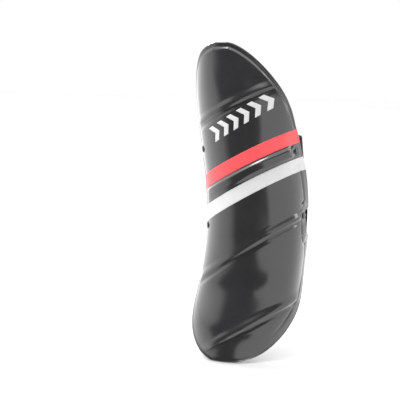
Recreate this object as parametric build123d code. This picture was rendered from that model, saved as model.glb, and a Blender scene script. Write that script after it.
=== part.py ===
from build123d import *
import math
import os

os.makedirs("parts", exist_ok=True)

# Ski-racing shin guard for the right leg, in millimetres.
# +Z runs up the shin, the front faces -Y, +X is the outer side of the leg and
# the flat bottom edge of the shell stands on z = 0.

# ---------------------------------------------------------------- shell form
HEIGHT = 400.0
WALL = 2.8
BACK_DEPTH = 70.0  # depth of the leg section behind its widest line
SQUARENESS = 0.064  # how far a section bulges beyond a plain ellipse
SPLIT_X = -12.0  # plane where the inner and outer rim curves meet
SURFACE_TOLERANCE = 0.02

# Horizontal sections: height, half width inner, half width outer, front depth, centre x.
SECTIONS = (
    (0, 64, 62, 70, -10),
    (40, 68, 69, 70, -6),
    (100, 65, 67, 53, 3),
    (160, 62, 66, 56, 9),
    (220, 63, 65, 60, 10),
    (280, 65, 65, 63, 5),
    (340, 66, 67, 66, 0),
    (400, 52, 56, 60, -13),
)

# Side view of the two rims: height, y of the edge.
INNER_RIM = (
    (0, -68.2),
    (12, -61),
    (36, -49),
    (70, -29),
    (110, -15),
    (160, -22),
    (220, -29),
    (300, -26),
    (350, -31),
    (385, -47),
    (400, -58.8),
)
OUTER_RIM = (
    (0, -68.2),
    (12, -49),
    (40, -15),
    (72, 17),
    (112, 33),
    (165, 23),
    (250, 4),
    (300, -15),
    (350, -39),
    (385, -53),
    (400, -58.8),
)

# The ribs and stripes climb towards the outer side: height on the front line, rise per mm of x.
CLIMB = ((-60, 0.6), (32, 0.62), (132, 0.68), (220, 0.57), (320, 0.51), (440, 0.45))
CLIMB_BOW = 0.0005  # how much a climbing line bows down towards both sides, per mm of x squared

# Rib profiles: height above the rib's line on the front, and relief. Both feet are sunk in
# the wall, so that a rib leaves the shell at a clear angle.
RIB_FOOT = -0.5
STEP = ((14, RIB_FOOT), (8, 0.6), (3, 1.5), (1, 1.6), (-0.8, 0.8), (-2.2, RIB_FOOT))
BAND = ((9, RIB_FOOT), (6, 1.8), (2.5, 2.9), (-2.5, 2.7), (-6, 1.5), (-9, RIB_FOOT))
# Height of each rib on the front line, its profile, the angle where it starts, and how many
# degrees before the outer rim it ends.
RIBS = ((32, STEP, -34, 12), (132, STEP, -66, 26), (230, BAND, -66, 23), (323, STEP, -66, 10))
RIB_DEPTH = -1.4  # offset of a rib's buried face

# ------------------------------------------------------------ printed films
FILM_GAP = 0.12
FILM = 0.3
RED_STRIPE = (240.0, 258.5)
WHITE_STRIPE = (200.0, 219.5)
FILM_EDGE = 1.0  # distance the films stop short of the rims, in degrees

# Generic mark of chevrons: centre x and z, slope angle, and sizes along and across.
MARK_CENTRE = (12.0, 309.0)
MARK_SLOPE = 31.0
CHEVRONS = 6
CHEVRON_PITCH = 15.5
CHEVRON_HEIGHT = 19.0
CHEVRON_REACH = 6.5
CHEVRON_STROKE = 7.0

# -------------------------------------------------------------------- liner
PATCH = (-2.9, -4.0)
BACKING = (-4.1, -4.7)
FOAM = (-4.8, -11.8)
FACE = (-11.9, -12.6)
PAD = (-12.8, -17.8)
LINER_ENDS = (9.0, 391.0)
LINER_TIP = 4.0  # the liner outline copies the shell outline up to this far from its tips
BINDING_INSET = 2.5
BINDING_WIDTH = 3.0
PATCH_SIZE = (26.0, 50.0)
# Angle and height of each hook patch.
PATCHES = ((0, 350), (-38, 314), (38, 320), (0, 215), (-35, 110), (45, 110), (0, 45))

# ------------------------------------------------------------------- straps
STRAP_WIDTH = 30.0
STRAPS = {"upper": 266.0, "lower": 174.0}  # height of each strap's centre line
# For each strap on the outer (+1) and inner (-1) side: how far above its centre line the rivet
# sits, and how far in from the rim.
RIVETS = {
    ("upper", 1): (0.0, 14.0),
    ("upper", -1): (0.0, 10.0),
    ("lower", 1): (9.0, 21.0),
    ("lower", -1): (-6.0, 10.0),
}
WEBBING = (-3.0, -4.4)
BAND_LIFT = 2.4  # how far the band moves out to pass over the loop tab
LIFT_ANGLES = (190.0, 220.0)
NOTCH_DEPTH = 14.0  # notch in the outer rim where the lower strap leaves
NOTCH_CLEARANCE = 1.5
TAB_PAST_RIM = 9.0
TAB_PAST_RIVET = 8.0
LOOP_TAB_END = 225.0
BAND_END = 245.0
HOOK_TAB_END = 273.0
GRIP_END = 281.0
SEAM_GAP = 0.4  # angle left free at each fold line, in degrees
POCKET = (-2.85, -7.0)

# ------------------------------------------------------------------- rivets
SHANK_RADIUS = 2.05
HOLE_RADIUS = 2.12
HEAD_RADIUS = 4.4
HEAD_HEIGHT = 2.0
WASHER = (-4.7, -5.5)
WASHER_RADIUS = 4.6
TAIL_RADIUS = 3.2
TAIL = (-5.55, -6.5)


# ---------------------------------------------------------------- geometry
def smoothstep(start, end, value):
    """0 at start, 1 at end, with level ends."""
    t = min(1.0, max(0.0, (value - start) / (end - start)))
    return t * t * (3 - 2 * t)


def curve_value(stations, column, at):
    """Smooth curve through one column of a station list, by cubic Hermite pieces."""
    xs = [s[0] for s in stations]
    ys = [s[column] for s in stations]
    at = min(xs[-1], max(xs[0], at))
    i = 0
    while i < len(xs) - 2 and at > xs[i + 1]:
        i += 1

    def slope(k):
        lo = max(0, k - 1)
        hi = min(len(xs) - 1, k + 1)
        return (ys[hi] - ys[lo]) / (xs[hi] - xs[lo])

    h = xs[i + 1] - xs[i]
    t = (at - xs[i]) / h
    a = slope(i) * h
    b = slope(i + 1) * h
    rise = ys[i + 1] - ys[i]
    return ys[i] + t * (a + t * (3 * rise - 2 * a - b + t * (a + b - 2 * rise)))


def section_point(angle, z):
    """Point (x, y) of the leg-shaped form. Angle 0 is the front, 90 the outer side."""
    column = 1 if math.sin(math.radians(angle)) < 0 else 2
    half = curve_value(SECTIONS, column, z)
    depth = curve_value(SECTIONS, 3, z)
    centre = curve_value(SECTIONS, 4, z)
    s = math.sin(math.radians(angle))
    c = math.cos(math.radians(angle))
    around = abs((angle + 180) % 360 - 180)
    depth += (BACK_DEPTH - depth) * smoothstep(50, 130, around)
    x = centre + half * s * (1 + SQUARENESS * c * c)
    y = -depth * c * (1 + SQUARENESS * s * s)
    return x, y


def form_point(angle, z, offset=0.0):
    """Point on the form, moved outwards by offset in its horizontal section."""
    x, y = section_point(angle, z)
    xa, ya = section_point(angle - 0.5, z)
    xb, yb = section_point(angle + 0.5, z)
    dx = xb - xa
    dy = yb - ya
    length = math.hypot(dx, dy)
    return x + offset * dy / length, y - offset * dx / length, z


def form_normal(angle, z):
    """Outward unit normal of the form."""
    along = Vector(*form_point(angle + 0.5, z)) - Vector(*form_point(angle - 0.5, z))
    up = Vector(*form_point(angle, z + 1)) - Vector(*form_point(angle, z - 1))
    return along.cross(up).normalized()


def climb_height(angle, front):
    """Height at an angle of a line that climbs from its height on the front line."""
    rise = curve_value(CLIMB, 1, front)
    z = front
    for _ in range(4):
        x = section_point(angle, z)[0]
        z = front + rise * x - CLIMB_BOW * x * x
    return z


def solid_between(outer_points, inner_points):
    """Solid between two surfaces through matching grids of points."""
    outer = Face.make_surface_from_array_of_points(outer_points, tol=SURFACE_TOLERANCE)
    inner = Face.make_surface_from_array_of_points(inner_points, tol=SURFACE_TOLERANCE)
    pairs = zip(outer.edges(), inner.edges())
    sides = [Face.make_surface_from_curves(a, b) for a, b in pairs]
    return Solid(Shell([outer, inner, *sides]))


def spread(start, end, step):
    """Even values from start to end, no further apart than step."""
    count = max(2, math.ceil(abs(end - start) / step))
    return [start + (end - start) * i / count for i in range(count + 1)]


def patch(rows, limits, offsets, point, step=6.0, shift=None):
    """Solid patch over rows, each between its own two angle limits."""
    grids = []
    for offset in offsets:
        grid = []
        for row in rows:
            start, end = limits(row)
            columns = [start + (end - start) * k / 100 for k in spread(0, 100, step)]
            grid.append([point(a, row, offset + (shift(a) if shift else 0)) for a in columns])
        grids.append(grid)
    return solid_between(*grids)


def angle_at_depth(depth, z, side):
    """Angle at which the form reaches this y, on the outer (+1) or inner (-1) side."""
    low = 0.0
    high = 150.0
    for _ in range(40):
        middle = (low + high) / 2
        if section_point(side * middle, z)[1] < depth:
            low = middle
        else:
            high = middle
    return side * low


def rim_angle(z, side, inset=0.0):
    """Angle of the rim at a height, moved in from the edge by inset along y."""
    stations = OUTER_RIM if side > 0 else INNER_RIM
    return angle_at_depth(curve_value(stations, 1, z) - inset, z, side)


def climbing_rim_angle(front, side):
    """Angle where the line that crosses the front at this height meets a rim."""
    angle = side * 80.0
    for _ in range(6):
        angle = rim_angle(climb_height(angle, front), side)
    return angle


# -------------------------------------------------------------------- shell
def make_rib(height, profile, start, outer_inset):
    """Rib of the shell, as a strip that is buried in the wall and fades out at both ends."""
    stations = [(height + above, lift) for above, lift in reversed(profile)]
    outer = []
    buried = []
    for front in spread(stations[0][0], stations[-1][0], 1.0):
        end = climbing_rim_angle(front, 1) - outer_inset
        lift = curve_value(stations, 1, front)
        outer_row = []
        buried_row = []
        for share in spread(0, 1, 0.025):
            angle = start + (end - start) * share
            fade = smoothstep(0, 0.2, share) * smoothstep(1, 0.93, share)
            z = climb_height(angle, front)
            outer_row.append(form_point(angle, z, RIB_FOOT + (lift - RIB_FOOT) * fade))
            buried_row.append(form_point(angle, z, RIB_DEPTH))
        outer.append(outer_row)
        buried.append(buried_row)
    return solid_between(outer, buried)


def shell_sheet():
    """Ribbed sheet over the whole form, before it is trimmed to its rims."""
    rows = spread(-12, HEIGHT + 12, 8)
    sheet = patch(rows, lambda row: (-102, 132), (0.0, -WALL), form_point, step=3)
    for rib in RIBS:
        sheet += make_rib(*rib)
    return sheet


def rim_prism():
    """Space inside the side view of both rims, wide enough for the whole guard."""
    halves = []
    for stations, width in ((OUTER_RIM, 120), (INNER_RIM, -120)):
        points = [(y, z) for z, y in stations]
        frame = Polyline(points[-1], (-130, HEIGHT), (-130, 0), points[0])
        side = Plane.YZ * make_face([Spline(*points), *frame.edges()])
        halves.append(Pos(SPLIT_X, 0, 0) * extrude(side, amount=width))
    return halves[0] + halves[1]


def rivet_place(name, side):
    """Angle and height of the rivet that holds a strap on the outer (+1) or inner (-1) side."""
    above, from_rim = RIVETS[name, side]
    z = STRAPS[name] + above
    return rim_angle(z, side, from_rim), z


def rivet_places():
    return [rivet_place(name, side) for name, side in RIVETS]


def across(angle, z, start, end, radius):
    """Round bar along the form's normal between two offsets."""
    normal = form_normal(angle, z)
    base = Vector(*form_point(angle, z)) + normal * min(start, end)
    return Plane(base, z_dir=normal) * extrude(Circle(radius), amount=abs(end - start))


def strap_notch():
    """Cutter for the notch in the outer rim that the lower strap leaves through."""
    z = STRAPS["lower"]
    start = curve_value(OUTER_RIM, 1, z) - NOTCH_DEPTH
    length = 60
    box = Box(90, length, STRAP_WIDTH + 2 * NOTCH_CLEARANCE)
    return Pos(75, start + length / 2, z) * box


def make_shell():
    shell = shell_sheet() & rim_prism()
    shell -= strap_notch()
    for angle, z in rivet_places():
        shell -= across(angle, z, 6, -6, HOLE_RADIUS)
    return shell


# -------------------------------------------------------------------- films
def make_stripe(span):
    """Printed stripe that climbs across the shell from rim to rim."""

    def limits(row):
        return [climbing_rim_angle(row, side) - side * FILM_EDGE for side in (-1, 1)]

    def point(angle, row, offset):
        return form_point(angle, climb_height(angle, row), offset)

    offsets = (FILM_GAP + FILM, FILM_GAP)
    return patch(spread(*span, 4.0), limits, offsets, point, step=4.0)


def mark_point(along, above, offset):
    """Point of the mark, given in its own sloping directions."""
    slope = math.radians(MARK_SLOPE)
    x = MARK_CENTRE[0] + along * math.cos(slope) - above * math.sin(slope)
    z = MARK_CENTRE[1] + along * math.sin(slope) + above * math.cos(slope)
    low = -89.0
    high = 89.0
    for _ in range(40):
        middle = (low + high) / 2
        if section_point(middle, z)[0] < x:
            low = middle
        else:
            high = middle
    return form_point(low, z, offset)


def chevron_arm(along, side):
    """One arm of a chevron, from its point to its end above (+1) or below (-1)."""
    grids = []
    for offset in (FILM_GAP + FILM, FILM_GAP):
        grid = []
        for across_stroke in spread(0, CHEVRON_STROKE, 3.5):
            row = []
            for part in spread(0.03, 1, 0.25):
                start = along + CHEVRON_REACH * (1 - part) + across_stroke
                row.append(mark_point(start, side * part * CHEVRON_HEIGHT / 2, offset))
            grid.append(row)
        grids.append(grid)
    return solid_between(*grids)


def make_mark():
    first = -(CHEVRONS - 1) / 2 * CHEVRON_PITCH - (CHEVRON_REACH + CHEVRON_STROKE) / 2
    places = [first + i * CHEVRON_PITCH for i in range(CHEVRONS)]
    return Compound(children=[chevron_arm(along, side) for along in places for side in (1, -1)])


# -------------------------------------------------------------------- liner
def pocket(name, side):
    """Space that a strap's fixed tab, its washer and its rivet tail take up."""
    z = STRAPS[name]
    rows = spread(z - STRAP_WIDTH / 2 - 2.5, z + STRAP_WIDTH / 2 + 2.5, 8)

    def limits(row):
        return [rim_angle(row, side, RIVETS[name, side][1] + 14), side * 128.0]

    return patch(rows, limits, POCKET, form_point, step=8)


def liner_sheet(offsets, inset):
    """Sheet with the liner's outline, moved in from it by inset."""
    bottom, top = LINER_ENDS

    def limits(row):
        share = (row - bottom) / (top - bottom)
        z = LINER_TIP + share * (HEIGHT - 2 * LINER_TIP)
        return [rim_angle(z, side) - side * inset for side in (-1, 1)]

    return patch(spread(bottom + inset, top - inset, 6), limits, offsets, form_point, step=3)


def liner_layer(offsets, inset=BINDING_INSET + BINDING_WIDTH + 0.2):
    """One layer of the liner, with pockets for the fixed ends of the straps."""
    layer = liner_sheet(offsets, inset)
    for name in STRAPS:
        for side in (1, -1):
            layer -= pocket(name, side)
    return layer


def make_binding():
    """Tape folded round the edge of the liner."""
    clear = liner_sheet((BACKING[0] + 1, FACE[1] - 1), BINDING_INSET + BINDING_WIDTH)
    return liner_layer((BACKING[0], FACE[1]), BINDING_INSET) - clear


def make_hook_patches():
    """Hook tape patches that hold the liner in the shell."""
    width, height = PATCH_SIZE
    patches = []
    for angle, z in PATCHES:
        half = math.degrees(width / 2 / 64)
        rows = spread(z - height / 2, z + height / 2, 9)
        limits = (angle - half, angle + half)
        patches.append(patch(rows, lambda row, ends=limits: ends, PATCH, form_point, step=20))
    return Compound(children=patches)


def make_pad(low, high, widest, inset):
    """Soft pad sewn on the face of the liner, kept clear of the rims."""

    def limits(row):
        return [side * min(widest, abs(rim_angle(row, side, inset))) for side in (-1, 1)]

    return patch(spread(low, high, 8), limits, PAD, form_point, step=8)


# ------------------------------------------------------------------- straps
def strap_rows(name):
    z = STRAPS[name]
    return spread(z - STRAP_WIDTH / 2, z + STRAP_WIDTH / 2, 7.5)


def strap_piece(name, start, end, offsets, step=5.0):
    """Length of strap round the leg, between two angles."""

    def lift(angle):
        return BAND_LIFT * smoothstep(*LIFT_ANGLES, angle)

    return patch(strap_rows(name), lambda row: (start, end), offsets, form_point, step, lift)


def tab_end(name):
    """Angle where the outer fixed tab ends and the band can fold."""
    z = STRAPS[name]
    return angle_at_depth(curve_value(OUTER_RIM, 1, z) + TAB_PAST_RIM, z, 1)


def rivet_hole(name, side):
    return across(*rivet_place(name, side), 2, -9, HOLE_RADIUS)


def tab_start(name, side):
    """Angle of a fixed tab's end inside the shell."""
    return rim_angle(STRAPS[name], side, RIVETS[name, side][1] + TAB_PAST_RIVET)


def make_anchor_tab(name):
    """Webbing riveted inside the outer rim, where the band starts."""
    tab = strap_piece(name, tab_start(name, 1), tab_end(name), WEBBING, 12)
    return tab - rivet_hole(name, 1)


def make_loop_tab(name):
    """Webbing with a loop face, riveted inside the inner rim."""
    limits = (LOOP_TAB_END - 360, tab_start(name, -1))
    tab = patch(strap_rows(name), lambda row: limits, WEBBING, form_point, step=6)
    return tab - rivet_hole(name, -1)


def make_elastic_band(name):
    return strap_piece(name, tab_end(name) + SEAM_GAP, BAND_END, WEBBING, 4)


def make_hook_tab(name):
    return strap_piece(name, BAND_END + SEAM_GAP, HOOK_TAB_END, WEBBING, 12)


def make_pull_grip(name):
    thick = (WEBBING[0] + 0.9, WEBBING[1] - 0.4)
    return strap_piece(name, HOOK_TAB_END + 0.15, GRIP_END, thick, 25)


# ------------------------------------------------------------------- rivets
def make_rivets():
    """Domed rivets through the shell and the strap tabs."""
    rivets = []
    for angle, z in rivet_places():
        normal = form_normal(angle, z)
        plane = Plane(Vector(*form_point(angle, z)) + normal * 0.05, z_dir=normal)
        dome_radius = (HEAD_RADIUS**2 + HEAD_HEIGHT**2) / (2 * HEAD_HEIGHT)
        ball = Pos(0, 0, HEAD_HEIGHT - dome_radius) * Sphere(dome_radius)
        keep = extrude(Circle(HEAD_RADIUS * 2), amount=HEAD_HEIGHT * 2)
        head = plane * (ball & keep)
        shank = across(angle, z, 0.1, TAIL[1], SHANK_RADIUS)
        tail = across(angle, z, TAIL[0], TAIL[1], TAIL_RADIUS)
        rivets += (head + shank + tail).solids()
    return Compound(children=rivets)


def make_washers():
    washers = []
    for angle, z in rivet_places():
        disc = across(angle, z, *WASHER, WASHER_RADIUS)
        washers += (disc - across(angle, z, 2, -9, HOLE_RADIUS)).solids()
    return Compound(children=washers)


# -------------------------------------------------------------------- write
def write(name, shape):
    export_step(shape, f"parts/{name}.step")


write("shell", make_shell())
write("red_stripe", make_stripe(RED_STRIPE))
write("white_stripe", make_stripe(WHITE_STRIPE))
write("mark", make_mark())
write("liner_backing", liner_layer(BACKING))
write("liner_foam", liner_layer(FOAM))
write("liner_face", liner_layer(FACE))
write("liner_binding", make_binding())
write("knee_pad", make_pad(300, 366, 46, 17))
write("instep_pad", make_pad(30, 76, 42, 15))
write("hook_patches", make_hook_patches())
write("rivets", make_rivets())
write("rivet_washers", make_washers())
for strap in STRAPS:
    write(f"anchor_tab_{strap}", make_anchor_tab(strap))
    write(f"elastic_band_{strap}", make_elastic_band(strap))
    write(f"hook_tab_{strap}", make_hook_tab(strap))
    write(f"pull_grip_{strap}", make_pull_grip(strap))
    write(f"loop_tab_{strap}", make_loop_tab(strap))
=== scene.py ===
import math

import bmesh
import bpy
import numpy as np
from mathutils import Matrix, Vector
from mathutils.kdtree import KDTree


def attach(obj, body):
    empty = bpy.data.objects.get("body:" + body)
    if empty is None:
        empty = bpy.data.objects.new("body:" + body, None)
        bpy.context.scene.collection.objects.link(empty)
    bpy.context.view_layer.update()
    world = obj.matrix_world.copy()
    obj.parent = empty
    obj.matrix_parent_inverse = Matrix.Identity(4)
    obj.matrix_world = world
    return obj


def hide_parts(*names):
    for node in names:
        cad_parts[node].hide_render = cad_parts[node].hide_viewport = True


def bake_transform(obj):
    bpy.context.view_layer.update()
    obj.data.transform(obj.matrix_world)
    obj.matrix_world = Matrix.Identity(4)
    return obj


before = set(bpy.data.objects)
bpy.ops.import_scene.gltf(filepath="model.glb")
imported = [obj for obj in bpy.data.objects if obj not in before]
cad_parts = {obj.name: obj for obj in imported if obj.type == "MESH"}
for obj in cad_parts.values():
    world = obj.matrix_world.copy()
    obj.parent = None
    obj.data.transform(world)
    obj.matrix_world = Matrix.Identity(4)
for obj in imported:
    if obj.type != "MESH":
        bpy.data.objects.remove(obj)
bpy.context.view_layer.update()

MM = 0.001  # shapes are worked out in millimetres, in the row's frame

# ---- leg form
# The form is the one that the CAD shell, liner and straps are built on.
HEIGHT = 400.0
WALL = 2.8
BACK_DEPTH = 70.0
SQUARENESS = 0.064

# Height, half width inner, half width outer, front depth, centre x.
SECTIONS = (
    (0, 64, 62, 70, -10), (40, 68, 69, 70, -6),
    (100, 65, 67, 53, 3), (160, 62, 66, 56, 9),
    (220, 63, 65, 60, 10), (280, 65, 65, 63, 5),
    (340, 66, 67, 66, 0), (400, 52, 56, 60, -13),
)

# Side view of the two rims: height, y of the edge.
INNER_RIM = (
    (0, -68.2), (12, -61), (36, -49), (70, -29),
    (110, -15), (160, -22), (220, -29), (300, -26),
    (350, -31), (385, -47), (400, -58.8),
)
OUTER_RIM = (
    (0, -68.2), (12, -49), (40, -15), (72, 17),
    (112, 33), (165, 23), (250, 4), (300, -15),
    (350, -39), (385, -53), (400, -58.8),
)
RIMS = {1: OUTER_RIM, -1: INNER_RIM}

# Ribs and stripes climb to the outer side: height on the front line, rise per mm of x.
CLIMB = ((-60, 0.6), (32, 0.62), (132, 0.68), (220, 0.57), (320, 0.51), (440, 0.45))
CLIMB_BOW = 0.0005  # how much a climbing line bows down towards both sides, per mm of x squared
# The mesh rows lean the same way, and level out at the tips.
ROW_CLIMB = ((0, 0.0), (40, 0.56), (132, 0.68), (220, 0.57), (320, 0.5), (400, 0.0))


def ramp(start, end, value):
    """0 to 1 as a value runs from start to end, with soft ends."""
    t = np.clip((value - start) / (end - start), 0, 1)
    return t * t * (3 - 2 * t)


def bisected(inside, low, high, steps=40):
    """The last value between low and high that is still inside, for each of an array."""
    for _ in range(steps):
        middle = (low + high) / 2
        held = inside(middle)
        low = np.where(held, middle, low)
        high = np.where(held, high, middle)
    return low


def curve(stations, column, at):
    """Smooth curve through one column of a station list, by cubic Hermite pieces."""
    table = np.array(stations, float)
    xs = table[:, 0]
    ys = table[:, column]
    slopes = np.empty(len(xs))
    slopes[1:-1] = (ys[2:] - ys[:-2]) / (xs[2:] - xs[:-2])
    slopes[0] = (ys[1] - ys[0]) / (xs[1] - xs[0])
    slopes[-1] = (ys[-1] - ys[-2]) / (xs[-1] - xs[-2])
    at = np.clip(at, xs[0], xs[-1])
    i = np.clip(np.searchsorted(xs, at, side="right") - 1, 0, len(xs) - 2)
    h = xs[i + 1] - xs[i]
    t = (at - xs[i]) / h
    a = slopes[i] * h
    b = slopes[i + 1] * h
    rise = ys[i + 1] - ys[i]
    return ys[i] + t * (a + t * (3 * rise - 2 * a - b + t * (a + b - 2 * rise)))


def section_xy(angle, z):
    """Point of a horizontal section. Angle 0 is the front, 90 the outer side."""
    s = np.sin(np.radians(angle))
    c = np.cos(np.radians(angle))
    half = np.where(s < 0, curve(SECTIONS, 1, z), curve(SECTIONS, 2, z))
    depth = curve(SECTIONS, 3, z)
    around = np.abs((angle + 180) % 360 - 180)
    depth = depth + (BACK_DEPTH - depth) * ramp(50, 130, around)
    x = curve(SECTIONS, 4, z) + half * s * (1 + SQUARENESS * c * c)
    y = -depth * c * (1 + SQUARENESS * s * s)
    return x, y


def form_point(angle, z, offset=0.0):
    """Points of the form, moved outwards by offset, as an array of x, y, z in mm."""
    angle, z, offset = np.broadcast_arrays(angle, z, offset)
    x, y = section_xy(angle, z)
    xa, ya = section_xy(angle - 0.5, z)
    xb, yb = section_xy(angle + 0.5, z)
    dx = xb - xa
    dy = yb - ya
    length = np.hypot(dx, dy)
    return np.stack([x + offset * dy / length, y - offset * dx / length, z], -1)


def climbed(angle, front, climb=CLIMB):
    """Height at an angle of the line that crosses the front at this height."""
    rise = curve(climb, 1, front)
    z = front + 0 * angle
    for _ in range(6):
        x = section_xy(angle, z)[0]
        z = front + rise * x - CLIMB_BOW * x * x
    return z


def front_height(angle, z):
    """The front height of the climbing line through a point: the inverse of climbed."""
    x = section_xy(angle, z)[0]
    front = z + 0 * x
    for _ in range(8):
        front = z - curve(CLIMB, 1, front) * x + CLIMB_BOW * x * x
    return front


# ---- meshes
def link(name, data):
    """New object in the scene."""
    made = bpy.data.objects.new(name, data)
    bpy.context.scene.collection.objects.link(made)
    return made


def mesh_piece(name, points, faces, uv=None):
    """New smooth object from points in mm, faces, and optional uv in mm for each point."""
    mesh = bpy.data.meshes.new(name)
    mesh.from_pydata((np.asarray(points) * MM).tolist(), [], [list(f) for f in faces])
    mesh.update()
    mesh.shade_smooth()
    if uv is not None:
        layer = mesh.uv_layers.new(name="surface")
        corners = np.empty(len(mesh.loops), np.int32)
        mesh.loops.foreach_get("vertex_index", corners)
        layer.uv.foreach_set("vector", np.asarray(uv, np.float32)[corners].ravel())
    return link(name, mesh)


def grid_faces(rows, columns, start=0, flip=False):
    """Quads of a grid of rows by columns of points."""
    i, j = np.meshgrid(np.arange(rows - 1), np.arange(columns - 1), indexing="ij")
    a = (start + i * columns + j).ravel()
    quads = np.stack([a, a + 1, a + columns + 1, a + columns], -1)
    return quads[:, ::-1] if flip else quads


def spread(start, end, columns):
    """Rows of evenly spaced values between two limits for each row."""
    share = np.linspace(0, 1, columns)[None, :]
    return start[:, None] * (1 - share) + end[:, None] * share


def ring_faces(rings, around, closed=False, flip=False):
    """Quads between rings of points that follow one another, and back to the first if closed."""
    n = np.arange(around)
    m = np.roll(n, -1)
    faces = []
    for k in range(rings if closed else rings - 1):
        a = k * around
        b = (k + 1) % rings * around
        quads = [a + n, b + n, b + m, a + m] if flip else [a + n, a + m, b + m, b + n]
        faces.append(np.stack(quads, -1))
    return np.concatenate(faces)


def border_of(rows, columns):
    """Indices round the edge of a grid, in order."""
    top = np.arange(columns)
    right = np.arange(1, rows) * columns + columns - 1
    bottom = np.arange(columns - 2, -1, -1) + (rows - 1) * columns
    left = np.arange(rows - 2, 0, -1) * columns
    return np.concatenate([top, right, bottom, left])


def joined(parts):
    """Points, faces and uv of several (points, faces, uv) parts as one."""
    points = []
    faces = []
    uv = []
    start = 0
    for part_points, part_faces, part_uv in parts:
        points.append(part_points)
        uv.append(part_uv)
        faces += [[start + k for k in face] for face in part_faces]
        start += len(part_points)
    return np.concatenate(points), faces, np.concatenate(uv)


def slab(outer, inner, bulge, uv, steps=6):
    """Closed part between two matching grids, with a rounded edge that stands out by bulge."""
    rows, columns = outer.shape[:2]
    count = rows * columns
    loop = border_of(rows, columns)
    flat_outer = outer.reshape(-1, 3)
    flat_inner = inner.reshape(-1, 3)
    flat_uv = uv.reshape(-1, 2)
    a = flat_outer[loop]
    b = flat_inner[loop]
    tangent = np.roll(a, -1, 0) - np.roll(a, 1, 0)
    out = np.cross(tangent, a - b)
    out /= np.maximum(np.linalg.norm(out, axis=1, keepdims=True), 1e-9)
    rings = []
    for k in range(1, steps):
        turn = math.pi * k / steps
        rings.append((a + b) / 2 + (a - b) / 2 * math.cos(turn) + out * bulge * math.sin(turn))
    points = np.concatenate([flat_outer, flat_inner, *rings])
    faces = [grid_faces(rows, columns), grid_faces(rows, columns, count, flip=True)]
    size = len(loop)
    chain = [loop, *[2 * count + k * size + np.arange(size) for k in range(steps - 1)]]
    chain.append(count + loop)
    for first, second in zip(chain, chain[1:]):
        n1 = np.roll(first, -1)
        n2 = np.roll(second, -1)
        faces.append(np.stack([first, second, n2, n1], -1))
    all_uv = np.concatenate([flat_uv, flat_uv, *[flat_uv[loop]] * (steps - 1)])
    return points, np.concatenate(faces), all_uv


def form_patch(angle, z, outer, inner, bulge, steps=6):
    """Slab over grids of angles and heights, between two offsets from the form."""
    uv = np.stack([angle * MM_PER_DEGREE, z], -1)
    return slab(form_point(angle, z, outer), form_point(angle, z, inner), bulge, uv, steps)


MM_PER_DEGREE = 1.15  # length of one degree of a section, near enough for textures


def merge_close(piece, distance=1e-6):
    """Close the poles of a turned part."""
    build = bmesh.new()
    build.from_mesh(piece.data)
    bmesh.ops.remove_doubles(build, verts=build.verts, dist=distance)
    bmesh.ops.dissolve_degenerate(build, edges=build.edges, dist=distance)
    bmesh.ops.recalc_face_normals(build, faces=build.faces)
    build.to_mesh(piece.data)
    build.free()
    return piece


def finished(part, name, body, material, node_name=None):
    """Object from a part, riding a body, with its material."""
    settle(mesh_piece(name, *part), body, material, node_name)


def settle(piece, body, material, node_name=None):
    """Give a piece its material, the CAD node it stands for and its body."""
    piece.data.materials.clear()
    piece.data.materials.append(material)
    if node_name:
        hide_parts(node_name)
    if body:
        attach(piece, body)


# ---- materials
def new_material(name):
    material = bpy.data.materials.new(name)
    material.use_nodes = True
    return material, material.node_tree, material.node_tree.nodes["Principled BSDF"]


def node(tree, kind, inputs, output=0, **settings):
    """One output of a new shader node, with its inputs linked to sockets or set to values."""
    made = tree.nodes.new("ShaderNode" + kind)
    for setting, value in settings.items():
        setattr(made, setting, value)
    for place, value in inputs.items():
        if isinstance(value, bpy.types.NodeSocket):
            tree.links.new(value, made.inputs[place])
        else:
            made.inputs[place].default_value = value
    return made.outputs[output]


def calc(tree, operation, *values):
    """Math node over sockets and numbers."""
    return node(tree, "Math", dict(enumerate(values)), operation=operation)


def surface_mm(tree):
    """Sockets for the two surface coordinates of a piece, in mm: along the wrap and up."""
    split = tree.nodes.new("ShaderNodeSeparateXYZ")
    tree.links.new(node(tree, "TexCoord", {}, "UV"), split.inputs[0])
    return split.outputs[0], split.outputs[1]


def noise(tree, per_metre, detail=4.0):
    place = node(tree, "TexCoord", {}, "Object")
    inputs = {"Vector": place, "Scale": per_metre, "Detail": detail, "Roughness": 0.55}
    return node(tree, "TexNoise", inputs, "Fac")


def cells(tree, per_metre):
    place = node(tree, "TexCoord", {}, "Object")
    return node(tree, "TexVoronoi", {"Vector": place, "Scale": per_metre}, "Distance")


def wave(tree, value, pitch):
    """Sine wave over a surface coordinate, pitch mm long."""
    return calc(tree, "SINE", calc(tree, "MULTIPLY", value, 2 * math.pi / pitch))


def eased(tree, value, start, end):
    """The same as ramp, for a socket."""
    inputs = {0: value, "From Min": start, "From Max": end}
    return node(tree, "MapRange", inputs, interpolation_type="SMOOTHSTEP")


def color_by(tree, shader, value, low, high, dark, light):
    """Colour a surface from dark to light as value runs from low to high."""
    made = tree.nodes.new("ShaderNodeValToRGB")
    made.color_ramp.elements[0].position = low
    made.color_ramp.elements[0].color = (*dark, 1)
    made.color_ramp.elements[1].position = high
    made.color_ramp.elements[1].color = (*light, 1)
    tree.links.new(value, made.inputs[0])
    tree.links.new(made.outputs[0], shader.inputs["Base Color"])


def spread_value(tree, value, low, high):
    """A value of 0 to 1 as low to high."""
    return node(tree, "MapRange", {0: value, "To Min": low, "To Max": high})


def bump(tree, shader, height, depth, strength):
    inputs = {"Strength": strength, "Distance": depth * MM, "Height": height}
    tree.links.new(node(tree, "Bump", inputs), shader.inputs["Normal"])


def roughness_by(tree, shader, value, low, high):
    tree.links.new(spread_value(tree, value, low, high), shader.inputs["Roughness"])


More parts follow.
